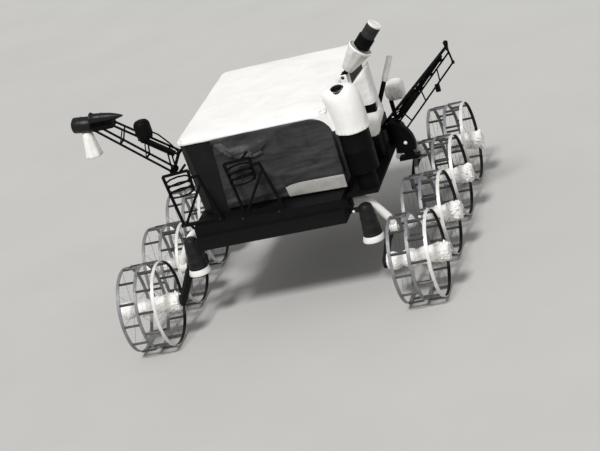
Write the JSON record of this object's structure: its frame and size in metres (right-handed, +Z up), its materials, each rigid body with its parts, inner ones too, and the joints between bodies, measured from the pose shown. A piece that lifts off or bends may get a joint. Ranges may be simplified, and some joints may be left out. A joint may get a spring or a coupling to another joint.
{
  "type": "planetary rover",
  "caption": "Wire-wheeled planetary rover with a cloth-covered tub, lattice booms at each side and a leaning camera mast.",
  "frame": {"origin": "centre of the box round the whole rover, booms included, on the floor", "axes": "+Z up, +X to the rover's right, +Y away from the end with the dark panel"},
  "size_m": [2.05, 2.21, 1.4181],
  "materials": {
    "wheel_metal": "dull titanium sheet, worn bright on the outside",
    "wrap_cloth": "white cloth wrap, tied and ruffled",
    "cover_cloth": "white quilted cloth cover",
    "dark_paint": "dark grey satin paint",
    "black_paint": "black satin paint",
    "white_paint": "white enamel",
    "grey_paint": "mid grey satin paint",
    "tub_grey": "smooth grey paint",
    "dark_foil": "dark wrinkled foil cloth",
    "pale_foil": "pale wrinkled foil cloth"
  },
  "bodies": {
    "chassis": {"side_beams": "dark_paint", "cross_members": "dark_paint", "belly_box": "dark_paint", "bogie_beams": "dark_paint", "bogie_arches": "white_paint", "spring_canisters": "grey_paint", "canister_skirts": "white_paint", "tub": "tub_grey", "top_cover": "cover_cloth", "front_panel": "dark_foil", "panel_strip": "pale_foil", "lattice_stand_left": "dark_paint", "lattice_stand_near": "dark_paint", "side_shelf": "dark_paint", "pod_can": "black_paint", "pod_cap": "cover_cloth", "side_housing": "pale_foil", "mast_knuckle": "cover_cloth", "strut": "dark_paint", "strut_sleeve": "wrap_cloth", "box_post": "dark_paint", "wrapped_box": "wrap_cloth", "boom_pedestal": "dark_paint", "gear_case": "black_paint"},
    "wheel_left_1": {"rim_left_1": "wheel_metal", "hub_left_1": "wrap_cloth"},
    "wheel_left_2": {"rim_left_2": "wheel_metal", "hub_left_2": "wrap_cloth"},
    "wheel_left_3": {"rim_left_3": "wheel_metal", "hub_left_3": "wrap_cloth"},
    "wheel_left_4": {"rim_left_4": "wheel_metal", "hub_left_4": "wrap_cloth"},
    "wheel_right_1": {"rim_right_1": "wheel_metal", "hub_right_1": "wrap_cloth"},
    "wheel_right_2": {"rim_right_2": "wheel_metal", "hub_right_2": "wrap_cloth"},
    "wheel_right_3": {"rim_right_3": "wheel_metal", "hub_right_3": "wrap_cloth"},
    "wheel_right_4": {"rim_right_4": "wheel_metal", "hub_right_4": "wrap_cloth"},
    "left_boom_arm": {"left_boom": "black_paint", "boom_head": "black_paint", "hanging_sleeve": "wrap_cloth"},
    "right_boom_arm": {"right_boom": "black_paint", "boom_tip": "black_paint"},
    "mast": {"mast_root": "dark_paint", "mast_cone": "cover_cloth"},
    "camera": {"camera_drum": "black_paint", "camera_disc": "white_paint"}
  },
  "joints": [
    {"name": "wheel_left_1_spin", "type": "hinge", "parent": "chassis", "child": "wheel_left_1", "pos_m": [-0.845, -0.85, 0.255], "axis": [1, 0, 0], "continuous": true},
    {"name": "wheel_left_2_spin", "type": "hinge", "parent": "chassis", "child": "wheel_left_2", "pos_m": [-0.845, -0.28333, 0.255], "axis": [1, 0, 0], "continuous": true},
    {"name": "wheel_left_3_spin", "type": "hinge", "parent": "chassis", "child": "wheel_left_3", "pos_m": [-0.845, 0.28333, 0.255], "axis": [1, 0, 0], "continuous": true},
    {"name": "wheel_left_4_spin", "type": "hinge", "parent": "chassis", "child": "wheel_left_4", "pos_m": [-0.845, 0.85, 0.255], "axis": [1, 0, 0], "continuous": true},
    {"name": "wheel_right_1_spin", "type": "hinge", "parent": "chassis", "child": "wheel_right_1", "pos_m": [0.755, -0.85, 0.255], "axis": [1, 0, 0], "continuous": true},
    {"name": "wheel_right_2_spin", "type": "hinge", "parent": "chassis", "child": "wheel_right_2", "pos_m": [0.755, -0.28333, 0.255], "axis": [1, 0, 0], "continuous": true},
    {"name": "wheel_right_3_spin", "type": "hinge", "parent": "chassis", "child": "wheel_right_3", "pos_m": [0.755, 0.28333, 0.255], "axis": [1, 0, 0], "continuous": true},
    {"name": "wheel_right_4_spin", "type": "hinge", "parent": "chassis", "child": "wheel_right_4", "pos_m": [0.755, 0.85, 0.255], "axis": [1, 0, 0], "continuous": true},
    {"name": "left_boom_lift", "type": "hinge", "parent": "chassis", "child": "left_boom_arm", "pos_m": [-0.525, -0.655, 0.97], "axis": [0, 1, 0], "range_deg": [-45, 25]},
    {"name": "right_boom_lift", "type": "hinge", "parent": "chassis", "child": "right_boom_arm", "pos_m": [0.555, 0.17, 0.696], "axis": [0, -1, 0], "range_deg": [-25, 35]},
    {"name": "mast_lean", "type": "hinge", "parent": "chassis", "child": "mast", "pos_m": [0.431, -0.08, 1.128], "axis": [0, -1, 0], "range_deg": [-5, 40]},
    {"name": "camera_turn", "type": "hinge", "parent": "mast", "child": "camera", "pos_m": [0.431, -0.08, 1.128], "axis": [0.7071, 0, 0.7071], "range_deg": [-170, 170]}
  ]
}
